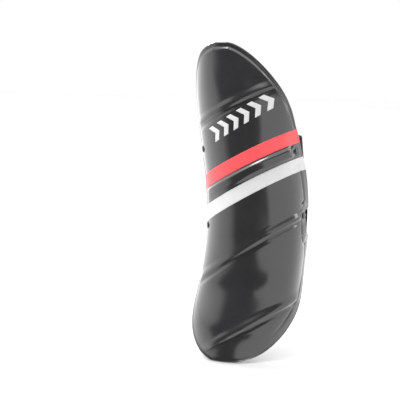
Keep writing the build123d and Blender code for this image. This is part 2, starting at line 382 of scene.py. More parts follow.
def plain_material(name, dark, light, grain, rough_grain, roughness, bumps):
    """Solid material: drifting colour and roughness, bumps as (per metre, detail, mm, strength)."""
    material, tree, shader = new_material(name)
    color_by(tree, shader, noise(tree, grain), 0.3, 0.7, dark, light)
    roughness_by(tree, shader, noise(tree, rough_grain), *roughness)
    per_metre, detail, depth, strength = bumps
    bump(tree, shader, noise(tree, per_metre, detail), depth, strength)
    return material, shader


def shell_material():
    material, tree, shader = new_material("shell_gloss_plastic")
    wear = noise(tree, 35)
    color_by(tree, shader, wear, 0.35, 0.7, (0.016, 0.0165, 0.0175), (0.02, 0.0205, 0.0215))
    roughness_by(tree, shader, noise(tree, 60), 0.16, 0.22)
    shader.inputs["Specular IOR Level"].default_value = 0.8
    shader.inputs["Coat Weight"].default_value = 0.6
    shader.inputs["Coat Roughness"].default_value = 0.1
    bump(tree, shader, noise(tree, 300, 2.0), 0.012, 0.3)
    return material


def ink_material(name, dark, light):
    return plain_material(name, dark, light, 90, 200, (0.3, 0.4), (900, 2.0, 0.01, 0.4))[0]


def woven_material(name, dark, light, pitch):
    """Herringbone webbing, with yarns pitch mm apart."""
    material, tree, shader = new_material(name)
    along, up = surface_mm(tree)
    slant = calc(tree, "ADD", along, calc(tree, "PINGPONG", up, 2.4))
    yarn = wave(tree, slant, pitch)
    cross = wave(tree, up, pitch * 0.6)
    cloth = calc(tree, "ADD", yarn, calc(tree, "MULTIPLY", cross, 0.5))
    fuzzy = calc(tree, "ADD", cloth, calc(tree, "MULTIPLY", noise(tree, 1500), 1.2))
    height = spread_value(tree, calc(tree, "MULTIPLY", fuzzy, 0.4), 0, 1)
    color_by(tree, shader, height, 0.1, 0.9, dark, light)
    shader.inputs["Roughness"].default_value = 0.9
    shader.inputs["Specular IOR Level"].default_value = 0.15
    bump(tree, shader, height, 0.3, 0.9)
    return material


def knit_material(name, dark, light, pitch):
    """Sports mesh: rows of small holes, pitch mm apart, every second row shifted by half."""
    material, tree, shader = new_material(name)
    along_wrap, up = surface_mm(tree)
    u = calc(tree, "MULTIPLY", along_wrap, 2 * math.pi / pitch)
    v = calc(tree, "MULTIPLY", up, 2 * math.pi / pitch)
    one = calc(tree, "SINE", calc(tree, "ADD", u, v))
    two = calc(tree, "SINE", calc(tree, "SUBTRACT", u, v))
    lattice = calc(tree, "MULTIPLY", one, two)
    yarn = calc(tree, "MULTIPLY_ADD", noise(tree, 1800), 0.6, lattice)
    height = eased(tree, yarn, -0.4, 0.5)
    shade = calc(tree, "MULTIPLY_ADD", noise(tree, 40), 0.25, height)
    color_by(tree, shader, shade, 0.0, 1.1, dark, light)
    shader.inputs["Roughness"].default_value = 0.92
    shader.inputs["Sheen Weight"].default_value = 0.05
    bump(tree, shader, height, 0.35, 0.9)
    return material


def hook_material(name, dark, light):
    """Hook or loop tape: a dense field of tiny hooks."""
    material, tree, shader = new_material(name)
    field = calc(tree, "ADD", cells(tree, 1100), calc(tree, "MULTIPLY", noise(tree, 700), 0.6))
    color_by(tree, shader, field, 0.2, 0.9, light, dark)
    shader.inputs["Roughness"].default_value = 0.75
    bump(tree, shader, field, 0.5, 1.0)
    return material


def foam_material():
    material, tree, shader = new_material("closed_cell_foam")
    pores = calc(tree, "ADD", cells(tree, 1500), noise(tree, 120))
    color_by(tree, shader, pores, 0.3, 1.3, (0.06, 0.06, 0.065), (0.1, 0.1, 0.105))
    shader.inputs["Roughness"].default_value = 0.95
    bump(tree, shader, pores, 0.15, 0.6)
    return material


def elastic_material():
    """Ribbed elastic: fine threads across the lengthwise ribs."""
    material, tree, shader = new_material("woven_elastic")
    along, up = surface_mm(tree)
    thread = wave(tree, along, 0.9)
    rib = wave(tree, up, 1.5)
    mixed = calc(tree, "ADD", thread, calc(tree, "MULTIPLY", noise(tree, 1200), 1.4))
    height = spread_value(tree, calc(tree, "ADD", mixed, rib), 0, 0.5)
    color_by(tree, shader, height, 0.0, 1.0, (0.006, 0.006, 0.006), (0.045, 0.045, 0.048))
    shader.inputs["Roughness"].default_value = 0.85
    shader.inputs["Specular IOR Level"].default_value = 0.25
    bump(tree, shader, height, 0.2, 0.9)
    return material


def rubber_material():
    dark = (0.022, 0.022, 0.023)
    light = (0.034, 0.034, 0.036)
    bumps = (2500, 3.0, 0.05, 0.6)
    return plain_material("grip_rubber", dark, light, 150, 300, (0.5, 0.7), bumps)[0]


def steel_material():
    dark = (0.09, 0.09, 0.092)
    light = (0.15, 0.15, 0.153)
    bumps = (3000, 3.0, 0.02, 0.4)
    material, shader = plain_material("rivet_steel", dark, light, 400, 900, (0.2, 0.38), bumps)
    shader.inputs["Metallic"].default_value = 1.0
    return material


def thread_material():
    material, tree, shader = new_material("sewing_thread")
    twist = noise(tree, 2500)
    color_by(tree, shader, twist, 0.3, 0.7, (0.09, 0.09, 0.095), (0.17, 0.17, 0.18))
    shader.inputs["Roughness"].default_value = 0.7
    bump(tree, shader, twist, 0.1, 0.6)
    return material


# ---- shell
EDGE = 1.2  # how far the shell's rim is rounded
NOTCH_DEPTH = 14.0  # notch in the outer rim where the lower strap leaves
NOTCH_HALF = 16.5
NOTCH_CORNER = 3.0
STRAP_HEIGHTS = {"upper": 266.0, "lower": 174.0}
# For each strap on the outer (+1) and inner (-1) side: how far above its centre line the rivet
# sits, and how far in from the rim.
RIVET_PLACES = {
    ("upper", 1): (0.0, 14.0),
    ("upper", -1): (0.0, 10.0),
    ("lower", 1): (9.0, 21.0),
    ("lower", -1): (-6.0, 10.0),
}
STEP_RIBS = ((32, -46, -10), (132, -76, -48), (323, -76, -48))  # height, angles it fades in over
BAND_RIB = (230, -76, -48)
STEP_CREST = 1.9
STEP_GROOVE = 1.2
BAND_CREST = 3.0
RIB_FADE = (3, 24)  # distances from the rim over which the ribs rise
CREASE_INSET = 15  # the outer wing's crease runs this far inside the rim, a flange beyond it
CREASE_DEPTH = 1.2
FLANGE_LIFT = 1.3
LIP_LIFT = 0.7
SEAT_DEPTH = 1.3  # sunken band inside the top lip
RIVET_SEAT = (5.2, 16.0)  # flat round each rivet, and where the relief is full again
SHELL_ROWS = 268
SHELL_COLUMNS = 150
WIDEST_ANGLE = 150.0  # no rim reaches further round than this


def plain_rim_y(z, side):
    return curve(RIMS[side], 1, z)


def rim_angle(z, side, inset=0.0):
    """Angle of the plain rim at each height, less an inset measured along y."""
    z = np.asarray(z, float)
    depth = plain_rim_y(z, side) - inset

    def inside(angle):
        return section_xy(side * angle, z)[1] < depth

    return side * bisected(inside, np.zeros(z.shape), np.full(z.shape, WIDEST_ANGLE))


def rim_y(z, side):
    """y of a rim, with the strap's notch in the outer one."""
    y = plain_rim_y(z, side)
    if side < 0:
        return y
    away = np.abs(z - STRAP_HEIGHTS["lower"])
    return y - NOTCH_DEPTH * ramp(NOTCH_HALF + NOTCH_CORNER - 1, NOTCH_HALF - 1, away)


def row_limit(front, side, inset, climb):
    """Angle at which each climbing row meets the rim, less an inset."""
    scan = np.linspace(0, 140, 281)[None, :] * side

    def inside(angle):
        z = climbed(angle, front[:, None], climb)
        return section_xy(angle, z)[1] < rim_y(z, side) - inset

    first_out = np.argmax(~inside(scan + 0 * front[:, None]), axis=1)
    high = np.abs(scan[0, first_out])[:, None]
    low = bisected(lambda angle: inside(angle * side), np.maximum(high - 0.5, 0), high, 24)
    return low[:, 0] * side


def rows_between_rims(front, columns, inset, climb):
    """Grids of angle and height for rows that run from rim to rim."""
    inner_limit = row_limit(front, -1, inset, climb)
    outer_limit = row_limit(front, 1, inset, climb)
    angle = spread(inner_limit, outer_limit, columns)
    return angle, climbed(angle, front[:, None], climb)


def rivet_place(name, side):
    """Angle and height of a strap's rivet on the outer (+1) or inner (-1) side."""
    above, from_rim = RIVET_PLACES[name, side]
    z = STRAP_HEIGHTS[name] + above
    return rim_angle(z, side, from_rim), z


RIVETS = [rivet_place(name, side) for name, side in RIVET_PLACES]


def rim_tree():
    """Search tree of points along the rim, to measure how far a point is from it."""
    front = np.linspace(EDGE, HEIGHT - EDGE / 2, SHELL_ROWS)
    angle, z = rows_between_rims(front, SHELL_COLUMNS, EDGE, ROW_CLIMB)
    loop = form_point(angle, z).reshape(-1, 3)[border_of(*angle.shape)]
    tree = KDTree(len(loop))
    for k, point in enumerate(loop):
        tree.insert(point, k)
    tree.balance()
    return tree, angle, z


RIM, SHELL_ANGLE, SHELL_Z = rim_tree()


def edge_distance(points):
    """Distance of each point from the shell's rim."""
    flat = points.reshape(-1, 3)
    found = np.array([RIM.find(p)[2] for p in flat])
    return found.reshape(points.shape[:-1]) + EDGE


def step_rib(front, height):
    """Overlapping-plate step: a crest that drops into a groove below it."""
    d = front - height
    crest = STEP_CREST * ramp(13, 2.5, d) * ramp(-1.5, 0.8, d)
    groove = -STEP_GROOVE * ramp(0.8, -2.0, d) * ramp(-9, -3.0, d)
    return crest + groove


def band_rib(front, height):
    """Wide raised band between the two stripes."""
    d = front - height
    return BAND_CREST * ramp(-9.5, -4, d) * ramp(9.5, 4.5, d)


def relief(angle, z):
    """How far the shell stands out of the form: ribs, crease, flange, lip and top seat."""
    points = form_point(angle, z)
    edge = edge_distance(points)
    front = front_height(angle, z)
    height, start, full = BAND_RIB
    ribs = band_rib(front, height) * ramp(start, full, angle)
    for height, start, full in STEP_RIBS:
        ribs = ribs + step_rib(front, height) * ramp(start, full, angle)
    ribs = ribs * ramp(*RIB_FADE, edge)
    outer = ramp(22, 42, angle) * ramp(20, 60, z) * ramp(264, 240, z)
    crease = -CREASE_DEPTH * outer * ramp(2.8, 0.2, np.abs(edge - CREASE_INSET))
    flange = FLANGE_LIFT * outer * ramp(CREASE_INSET, 3, edge)
    lip = LIP_LIFT * ramp(4.5, 2.0, edge)
    top = ramp(284, 300, z) * ramp(-40, -15, angle)
    seat = -SEAT_DEPTH * top * ramp(8.5, 5.5, edge)
    total = ribs + crease + flange + lip + seat
    for rivet_angle, rivet_z in RIVETS:
        away = np.linalg.norm(points - form_point(rivet_angle, rivet_z), axis=-1)
        total = total * ramp(*RIVET_SEAT, away)
    return total


def make_shell(material):
    outer = form_point(SHELL_ANGLE, SHELL_Z, relief(SHELL_ANGLE, SHELL_Z))
    inner = form_point(SHELL_ANGLE, SHELL_Z, -WALL)
    uv = np.stack([SHELL_ANGLE * MM_PER_DEGREE, SHELL_Z], -1)
    part = slab(outer, inner, EDGE, uv)
    finished(part, "shell_moulding", "guard", material, "shell")


# ---- films
RED_STRIPE = (240.0, 258.5)
WHITE_STRIPE = (200.0, 219.5)
FILM_ABOVE = 0.16
FILM_BELOW = -0.2
FILM_RIM_GAP = 1.6

MARK_CENTRE = (12.0, 309.0)
MARK_SLOPE = 31.0
CHEVRONS = 6
CHEVRON_PITCH = 15.5
CHEVRON_HEIGHT = 19.0
CHEVRON_REACH = 6.5
CHEVRON_STROKE = 7.0


def film(angle, z):
    """Thin printed layer on the shell's own surface."""
    lift = relief(angle, z)
    return form_patch(angle, z, lift + FILM_ABOVE, lift + FILM_BELOW, 0.05, 3)


def make_stripe(name, span, material):
    front = np.linspace(span[0], span[1], 14)
    angle, z = rows_between_rims(front, 150, FILM_RIM_GAP, CLIMB)
    finished(film(angle, z), name + "_film", "guard", material, name)


def angle_at_x(x, z):
    """Angle on the front half of the form at which it reaches each x."""
    end = np.full(x.shape, 89.0)
    return bisected(lambda angle: section_xy(angle, z)[0] < x, -end, end)


def chevron(along):
    """One chevron of the mark, at a distance along the mark's line from its centre."""
    slope = math.radians(MARK_SLOPE)
    arm = np.linspace(-1, 1, 25)[:, None]
    stroke = np.linspace(0, CHEVRON_STROKE, 6)[None, :]
    a = along + CHEVRON_REACH * (1 - np.abs(arm)) + stroke
    b = arm * CHEVRON_HEIGHT / 2 + 0 * stroke
    x = MARK_CENTRE[0] + a * math.cos(slope) - b * math.sin(slope)
    z = MARK_CENTRE[1] + a * math.sin(slope) + b * math.cos(slope)
    return film(angle_at_x(x, z), z)


def make_mark(material):
    first = -(CHEVRONS - 1) / 2 * CHEVRON_PITCH - (CHEVRON_REACH + CHEVRON_STROKE) / 2
    parts = [chevron(first + i * CHEVRON_PITCH) for i in range(CHEVRONS)]
    finished(joined(parts), "chevron_print", "guard", material, "mark")


# ---- liner
BACKING = (-4.15, -4.65)
FOAM = (-4.8, -11.7)
FACE = (-11.85, -12.6)
PAD_BACK = -12.85
LINER_ENDS = (9.0, 391.0)
LINER_TIP = 4.0
BINDING_INSET = 2.5
BINDING_WIDTH = 3.0
LAYER_INSET = BINDING_INSET + BINDING_WIDTH + 0.3
POCKET_OFFSET = -7.05
POCKET_HALF = 18.0
POCKET_EASE = 4.0
POCKET_PAST_RIVET = 15.0
POCKET_SQUEEZE = 0.4  # how much of their spacing the layers keep in a pocket
KNEE_PAD = (300.0, 366.0, 46.0, 17.0)  # lowest, highest, widest angle, inset from the rims
INSTEP_PAD = (30.0, 76.0, 42.0, 15.0)
PAD_CORNER = 12.0
QUILT = (14, 6)  # panels up and across the lining
PANEL = 8  # mesh cells along each side of a panel
QUILT_SWELL = 1.5
CHANNEL_ANGLE = 16  # sewn channels of the pads, either side of the middle
CLOTH_TICKS = 20
FACE_PRESSURE = 400.0
FACE_MOVE = 1.6  # mm that a point of the lining may move
PAD_PRESSURE = 60.0
PAD_MOVE = 1.2
PATCHES = ((0, 350), (-38, 314), (38, 320), (0, 215), (-35, 110), (45, 110), (0, 45))
PATCH = (-2.95, -4.0)
PATCH_SIZE = (26.0, 50.0)
PATCH_RADIUS = 64  # the form's radius where the patches sit


def liner_grid(inset, rows, columns):
    """Angles and heights over the liner's outline, moved in from it by inset."""
    bottom, top = LINER_ENDS
    z = np.linspace(bottom + inset, top - inset, rows)
    copied = LINER_TIP + (z - bottom) / (top - bottom) * (HEIGHT - 2 * LINER_TIP)
    start = rim_angle(copied, -1) + inset
    end = rim_angle(copied, 1) - inset
    angle = spread(start, end, columns)
    return angle, z[:, None] + 0 * angle


def pocket_share(angle, z):
    """1 where a strap's fixed tab runs behind the liner, easing to 0 round it."""
    share = 0 * angle
    for name, height in STRAP_HEIGHTS.items():
        beside = ramp(POCKET_HALF + POCKET_EASE, POCKET_HALF, np.abs(z - height))
        for side in (1, -1):
            start = rim_angle(height, side, RIVET_PLACES[name, side][1] + POCKET_PAST_RIVET)
            past = side * (angle - start)
            share = np.maximum(share, beside * ramp(-POCKET_EASE, 0, past))
    return share


def under_pockets(offset, angle, z):
    """Offset of a liner surface, pushed inwards where the tabs run."""
    sunk = np.minimum(offset, POCKET_OFFSET + POCKET_SQUEEZE * (offset - BACKING[0]))
    return offset + (sunk - offset) * pocket_share(angle, z)


def make_flat_layer(name, offsets, material, node_name):
    angle, z = liner_grid(LAYER_INSET, 150, 80)
    outer = under_pockets(offsets[0], angle, z)
    inner = np.minimum(under_pockets(offsets[1], angle, z), offsets[1])
    part = form_patch(angle, z, outer, inner, 0.2, 4)
    finished(part, name, "guard", material, node_name)


def pad_reach(z, pad):
    """Degrees that a pad reaches to the inner and to the outer side at each height."""
    return [np.minimum(pad[2], np.abs(rim_angle(z, side, pad[3]))) for side in (-1, 1)]


def in_pad(angle, z, pad, margin):
    inner, outer = pad_reach(z[:, 0], pad)
    across = (angle > -inner[:, None] - margin) & (angle < outer[:, None] + margin)
    return across & (z > pad[0] - margin) & (z < pad[1] + margin)


def inflate(piece, held, pressure, cap):
    """Blow a closed mesh up as cloth with some points held, and keep each move under cap mm."""
    mesh = piece.data
    before = np.empty(len(mesh.vertices) * 3)
    mesh.vertices.foreach_get("co", before)
    group = piece.vertex_groups.new(name="held")
    group.add([int(k) for k in np.flatnonzero(held)], 1.0, "REPLACE")
    cloth = piece.modifiers.new("cloth", "CLOTH")
    cloth.settings.vertex_group_mass = "held"
    cloth.settings.use_pressure = True
    cloth.settings.uniform_pressure_force = pressure
    cloth.settings.effector_weights.gravity = 0.0
    cloth.settings.quality = 6
    cloth.settings.mass = 0.15
    scene = bpy.context.scene
    for tick in range(1, CLOTH_TICKS + 1):
        scene.frame_set(tick)
    shaped = piece.evaluated_get(bpy.context.evaluated_depsgraph_get())
    after = np.empty(len(before))
    shaped.data.vertices.foreach_get("co", after)
    piece.modifiers.remove(cloth)
    piece.vertex_groups.clear()
    scene.frame_set(1)
    move = (after - before).reshape(-1, 3)
    length = np.maximum(np.linalg.norm(move, axis=1, keepdims=True), 1e-9)
    limit = cap * MM
    move *= np.tanh(length / limit) * limit / length
    mesh.vertices.foreach_set("co", (before.reshape(-1, 3) + move).ravel())
    mesh.update()


def subdivided(piece):
    """Give a piece one level of subdivision."""
    smooth = piece.modifiers.new("smooth", "SUBSURF")
    smooth.levels = 1
    smooth.render_levels = 1
    shaped = piece.evaluated_get(bpy.context.evaluated_depsgraph_get())
    mesh = bpy.data.meshes.new_from_object(shaped)
    piece.modifiers.remove(smooth)
    piece.data = mesh


def cushion(name, part, stitched, pressure, move, material, node_name):
    """Part blown up between its stitches on the side of the leg, then smoothed."""
    piece = mesh_piece(name, *part)
    held = np.ones(len(part[0]), bool)
    held[stitched.size : 2 * stitched.size] = stitched.ravel()
    inflate(piece, held, pressure, move)
    subdivided(piece)
    settle(piece, "guard", material, node_name)


def make_face(material):
    """Lining fabric, quilted in panels that swell towards the leg."""
    rows = PANEL * QUILT[0] + 1
    columns = PANEL * QUILT[1] + 1
    angle, z = liner_grid(LAYER_INSET, rows, columns)
    row = np.arange(rows)[:, None] + 0 * angle
    column = np.arange(columns)[None, :] + 0 * angle
    flat = in_pad(angle, z, KNEE_PAD, 2) | in_pad(angle, z, INSTEP_PAD, 2)
    swell = np.abs(np.sin(row * np.pi / PANEL) * np.sin(column * np.pi / PANEL)) ** 0.4
    inner = FACE[1] + 0.2 - np.where(flat, 0.0, QUILT_SWELL * swell)
    part = form_patch(angle, z, FACE[0], inner, 0.1, 2)
    seam = (row % PANEL == 0) | (column % PANEL == 0) | flat
    cushion("liner_face_quilt", part, seam, FACE_PRESSURE, FACE_MOVE, material, "liner_face")


def make_pad(node_name, pad, material):
    """Stuffed pad, flat on the liner and swollen towards the leg."""
    low, high = pad[:2]
    z = np.linspace(low + 1, high - 1, 25)
    to_corner = np.minimum(1, np.minimum(z - low, high - z) / PAD_CORNER)
    cut = PAD_CORNER * (1 - np.sqrt(1 - (1 - to_corner) ** 2)) / MM_PER_DEGREE
    inner, outer = pad_reach(z, pad)
    start = -inner + 1 + cut
    end = outer - 1 - cut
    angle = spread(start, end, 37)
    z = z[:, None] + 0 * angle
    edge_z = np.minimum(z - low, high - z)
    edge_a = np.minimum(angle - start[:, None], end[:, None] - angle) + 1
    fill = ramp(0, 9, edge_z) * ramp(0, 9, edge_a)
    right_channel = ramp(3, 0.5, np.abs(angle - CHANNEL_ANGLE))
    left_channel = ramp(3, 0.5, np.abs(angle + CHANNEL_ANGLE))
    channel = 0.45 * (right_channel + left_channel)
    depth = 1.2 + 2.3 * fill * (1 - channel)
    part = form_patch(angle, z, PAD_BACK, PAD_BACK - depth, 0.5, 4)
    stitched = (np.abs(np.abs(angle) - CHANNEL_ANGLE) < 1.3) | (edge_z < 2.5) | (edge_a < 2.5)
    cushion(f"{node_name}_cushion", part, stitched, PAD_PRESSURE, PAD_MOVE, material, node_name)


def make_binding(material, thread):
    """Tape folded round the liner's edge."""
    full = BINDING_INSET + BINDING_WIDTH
    section = [
        (full, BACKING[0] - 0.05), (full - 0.3, BACKING[0] + 0.2),
        (full - 1.4, BACKING[0] + 0.15), (BINDING_INSET + 0.7, BACKING[0] - 0.5),
        (BINDING_INSET + 0.15, BACKING[0] - 2.0), (BINDING_INSET, (BACKING[0] + FACE[1]) / 2),
        (BINDING_INSET + 0.15, FACE[1] + 2.0), (BINDING_INSET + 0.7, FACE[1] + 0.5),
        (full - 1.4, FACE[1] - 0.35), (full - 0.3, FACE[1] - 0.4),
        (full, FACE[1] - 0.05), (full, (BACKING[0] + FACE[1]) / 2),
    ]
    rings = []
    uv = []
    for inset, offset in section:
        angle, z = liner_grid(inset, 160, 60)
        loop = border_of(*angle.shape)
        a = angle.ravel()[loop]
        h = z.ravel()[loop]
        sunk = min(offset, POCKET_OFFSET - POCKET_SQUEEZE * abs(offset - BACKING[0]))
        level = offset + (sunk - offset) * pocket_share(a, h)
        rings.append(form_point(a, h, np.maximum(level, FACE[1] - 0.4)))
        uv.append(np.stack([np.arange(len(loop)) * 2.0, offset + 0 * a], -1))
    faces = ring_faces(len(rings), len(rings[0]), closed=True)
    part = (np.concatenate(rings), faces, np.concatenate(uv))
    piece = merge_close(mesh_piece("liner_binding_tape", *part))
    settle(piece, "guard", material, "liner_binding")
    angle, z = liner_grid(full - 0.9, 160, 60)
    loop = border_of(*angle.shape)
    path = form_point(angle.ravel()[loop], z.ravel()[loop], FACE[1] - 0.45)
    stitches = joined(stitch_parts(np.concatenate([path, path[:1]])))
    finished(stitches, "binding_stitches", "guard", thread)


def make_hook_patches(material):
    width, height = PATCH_SIZE
    half = math.degrees(width / 2 / PATCH_RADIUS)
    parts = []
    for centre, middle in PATCHES:
        up = np.linspace(middle - height / 2 + 0.5, middle + height / 2 - 0.5, 13)
        across = np.linspace(centre - half + 0.4, centre + half - 0.4, 9)
        z, angle = np.meshgrid(up, across, indexing="ij")
        parts.append(form_patch(angle, z, *PATCH, 0.4, 4))
    finished(joined(parts), "hook_patch_set", "guard", material, "hook_patches")


# ---- straps
STRAP_WIDTH = 30.0
WEBBING = (-3.0, -4.4)
WEBBING_EDGE = 0.35
DOUBLING = 0.45  # how far doubled webbing stands out on each side
BAND_LIFT = 2.4
LIFT_ANGLES = (190.0, 220.0)
TAB_PAST_RIM = 9.0
TAB_PAST_RIVET = 8.0
NOTCH_SLACK = 3.4  # how far the lower webbing bows out in the notch
LOOP_TAB_END = 225.0
BAND_END = 245.0
HOOK_TAB_END = 273.0
GRIP_END = 281.0
STRAP_SPLIT = 234.0  # where the elastic ends and the sewn end begins
FOLD = 7.0  # angle that a strap's joint spans
ELASTIC_PITCH = 1.5


def band_lift(angle):
    return BAND_LIFT * ramp(LIFT_ANGLES[0], LIFT_ANGLES[1], angle)


def tab_end(name):
    """Angle where the outer fixed tab ends and the band can fold."""
    return rim_angle(STRAP_HEIGHTS[name], 1, -TAB_PAST_RIM)


def tab_start(name, side):
    """Angle of a fixed tab's end inside the shell."""
    inset = RIVET_PLACES[name, side][1] + TAB_PAST_RIVET
    return rim_angle(STRAP_HEIGHTS[name], side, inset)


def strap_grid(name, start, end, rows, columns, narrower=0.35):
    half = STRAP_WIDTH / 2 - narrower
    up = STRAP_HEIGHTS[name] + np.linspace(-half, half, rows)
    z, angle = np.meshgrid(up, np.linspace(start, end, columns), indexing="ij")
    return angle, z


def strap_point(name, angle, offset=-3.7):
    """Point on the middle of a strap, in metres."""
    place = form_point(np.float64(angle), STRAP_HEIGHTS[name], offset + float(band_lift(angle)))
    return [float(c) * MM for c in place]


def stitch_parts(path, length=2.6, gap=1.0, radius=0.32):
    """Small thread stitches along a polyline of points, standing a little out of it."""
    path = np.asarray(path, float)
    steps = np.linalg.norm(np.diff(path, axis=0), axis=1)
    travelled = np.concatenate([[0], np.cumsum(steps)])
    turn = np.linspace(0, 2 * math.pi, 6, endpoint=False)
    parts = []
    start = 0.5
    while start + length < travelled[-1]:
        at = np.linspace(start, start + length, 5)
        spine = np.stack([np.interp(at, travelled, path[:, k]) for k in range(3)], -1)
        along = spine[-1] - spine[0]
        along /= np.linalg.norm(along)
        out = np.array([spine[2, 0] - 5.0, spine[2, 1], 0.0])
        out /= np.linalg.norm(out)
        beside = np.cross(along, out)
        rings = []
        for place, size in zip(spine, (0.05, 0.8, 1.0, 0.8, 0.05)):
            circle = np.cos(turn)[:, None] * beside + 0.8 * np.sin(turn)[:, None] * out
            rings.append(place + circle * radius * size)
        faces = [*ring_faces(5, 6), [5, 4, 3, 2, 1, 0], [24, 25, 26, 27, 28, 29]]
        points = np.concatenate(rings)
        parts.append((points, faces, np.zeros((len(points), 2))))
        start += length + gap
    return parts


def box_stitch(name, start, end, offset, inset=2.6):
    """Stitches round a rectangle on a strap, with a cross in it."""
    z = STRAP_HEIGHTS[name]
    high = z + STRAP_WIDTH / 2 - inset
    low = z - STRAP_WIDTH / 2 + inset
    corners = ((start, low), (end, low), (end, high), (start, high))
    runs = [(corners[k], corners[(k + 1) % 4]) for k in range(4)]
    runs += [(corners[0], corners[2]), (corners[1], corners[3])]
    parts = []
    for (a0, z0), (a1, z1) in runs:
        angle = np.linspace(a0, a1, 24)
        path = form_point(angle, np.linspace(z0, z1, 24), offset + band_lift(angle))
        parts += stitch_parts(path)
    return joined(parts)


def slack_in_notch(name, angle):
    """How far the webbing bows out where it passes through the lower strap's notch."""
    if name != "lower":
        return 0.0
    start = rim_angle(STRAP_HEIGHTS[name], 1, NOTCH_DEPTH)
    end = tab_end(name)
    leaving = ramp(start + 1.0, start + 4.5, angle)
    return NOTCH_SLACK * leaving * ramp(end - 6.5, end - 9.5, angle)


def make_anchor_tab(name, webbing, thread):
    """Webbing from the outer rivet to the fold line, doubled where the elastic is sewn in."""
    start = tab_start(name, 1)
    end = tab_end(name)
    angle, z = strap_grid(name, start, end, 31, 60)
    doubled = ramp(end - 7.5, end - 6.8, angle)
    bowed = slack_in_notch(name, angle)
    outer = WEBBING[0] + DOUBLING * doubled + bowed
    inner = WEBBING[1] - DOUBLING * doubled + bowed
    part = form_patch(angle, z, outer, inner, WEBBING_EDGE)
    finished(part, f"anchor_webbing_{name}", "guard", webbing, f"anchor_tab_{name}")
    stitches = box_stitch(name, end - 6, end - 1.4, WEBBING[0] + 0.5, 3.0)
    finished(stitches, f"anchor_stitches_{name}", "guard", thread)


def fold(piece, name, start):
    """Bake a strap piece's placement into its mesh; its points at both ends of the joint, FOLD
    degrees apart, are worked out but not used.
    """
    end = strap_point(name, start + FOLD)
    strap_point(name, start)
    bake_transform(piece)


def make_elastic(name, material):
    """Elastic band from just inside the end of the fixed tab to the sewn end."""
    start = tab_end(name) - 0.6
    angle, z = strap_grid(name, start, STRAP_SPLIT + 0.6, 85, 150, 0.6)
    ribs = 0.13 * np.cos((z - STRAP_HEIGHTS[name]) * 2 * math.pi / ELASTIC_PITCH)
    slack = 0.12 * np.sin(np.radians(angle) * 9)
    middle = band_lift(angle) + slack * ramp(start + 4, start + 20, angle)
    outer = WEBBING[0] - 0.15 + middle + ribs
    inner = WEBBING[1] + 0.15 + middle - ribs
    piece = mesh_piece(f"elastic_web_{name}", *form_patch(angle, z, outer, inner, 0.3))
    settle(piece, None, material, f"elastic_band_{name}")
    fold(piece, name, tab_end(name))


def make_hook_end(name, webbing, hooks, thread):
    """Sewn end of the strap, with its hook tape, the tape's stitches and the seam to the elastic.
    """
    angle, z = strap_grid(name, STRAP_SPLIT, HOOK_TAB_END + 1.0, 41, 60)
    lift = band_lift(angle)
    part = form_patch(angle, z, WEBBING[0] + 0.1 + lift, WEBBING[1] + lift, WEBBING_EDGE)
    piece = mesh_piece(f"strap_end_webbing_{name}", *part)
    settle(piece, None, webbing, f"hook_tab_{name}")
    fold(piece, name, BAND_END - FOLD / 2)
    angle, z = strap_grid(name, BAND_END + 5, HOOK_TAB_END - 0.5, 27, 40, 1.6)
    lift = band_lift(angle)
    part = form_patch(angle, z, WEBBING[1] + 0.1 + lift, WEBBING[1] - 0.5 + lift, 0.2, 4)
    finished(part, f"hook_tape_{name}", f"strap_end_{name}", hooks, None)
    stitches = box_stitch(name, BAND_END + 6, HOOK_TAB_END - 2, WEBBING[0] + 0.15)
    finished(stitches, f"hook_stitches_{name}", f"strap_end_{name}", thread)
    stitches = box_stitch(name, STRAP_SPLIT + 1.2, STRAP_SPLIT + 5.5, WEBBING[0] + 0.15)
    finished(stitches, f"end_stitches_{name}", f"band_{name}", thread)


def make_grip(name, material):
    """Moulded pull grip with finger ridges."""
    angle, z = strap_grid(name, HOOK_TAB_END + 0.3, GRIP_END - 0.6, 41, 41, 1.0)
    across = (angle - HOOK_TAB_END) / (GRIP_END - HOOK_TAB_END)
    side = np.abs(z - STRAP_HEIGHTS[name]) / (STRAP_WIDTH / 2)
    ridges = 0.45 * np.cos((across - 0.5) * 2 * math.pi * 3) * ramp(0.86, 0.72, side)
    outer = WEBBING[0] + 0.4 + BAND_LIFT + ridges
    inner = WEBBING[1] - 0.1 + BAND_LIFT - 0.4 * ridges
    part = form_patch(angle, z, outer, inner, 0.6)
    body = f"strap_end_{name}"
    finished(part, f"moulded_grip_{name}", body, material, f"pull_grip_{name}")


def make_loop_tab(name, loops, thread):
    """Loop-faced webbing riveted inside the inner rim."""
    start = LOOP_TAB_END - 360
    end = tab_start(name, -1)
    angle, z = strap_grid(name, start + 0.3, end, 31, 80)
    part = form_patch(angle, z, WEBBING[0] - 0.05, WEBBING[1], WEBBING_EDGE)
    finished(part, f"loop_webbing_{name}", "guard", loops, f"loop_tab_{name}")
    edges = []
    for side in (1, -1):
        run = np.linspace(start + 2, end - 10, 60)
        height = STRAP_HEIGHTS[name] + side * (STRAP_WIDTH / 2 - 1.8)
        edges += stitch_parts(form_point(run, height, WEBBING[0] - 0.15))
    finished(joined(edges), f"loop_stitches_{name}", "guard", thread)


# ---- rivets
HEAD_RADIUS = 4.4
HEAD_HEIGHT = 1.6
SHANK_RADIUS = 2.05
WASHER = (-4.7, -5.5)
WASHER_RADIUS = 4.6
TAIL = (-5.55, -6.5)
TAIL_RADIUS = 3.2


def form_normal(angle, z):
    """Outward unit normal of the form."""
    angle = np.float64(angle)
    along = form_point(angle + 0.5, z) - form_point(angle - 0.5, z)
    up = form_point(angle, z + 1) - form_point(angle, z - 1)
    normal = np.cross(along, up)
    return normal / np.linalg.norm(normal)


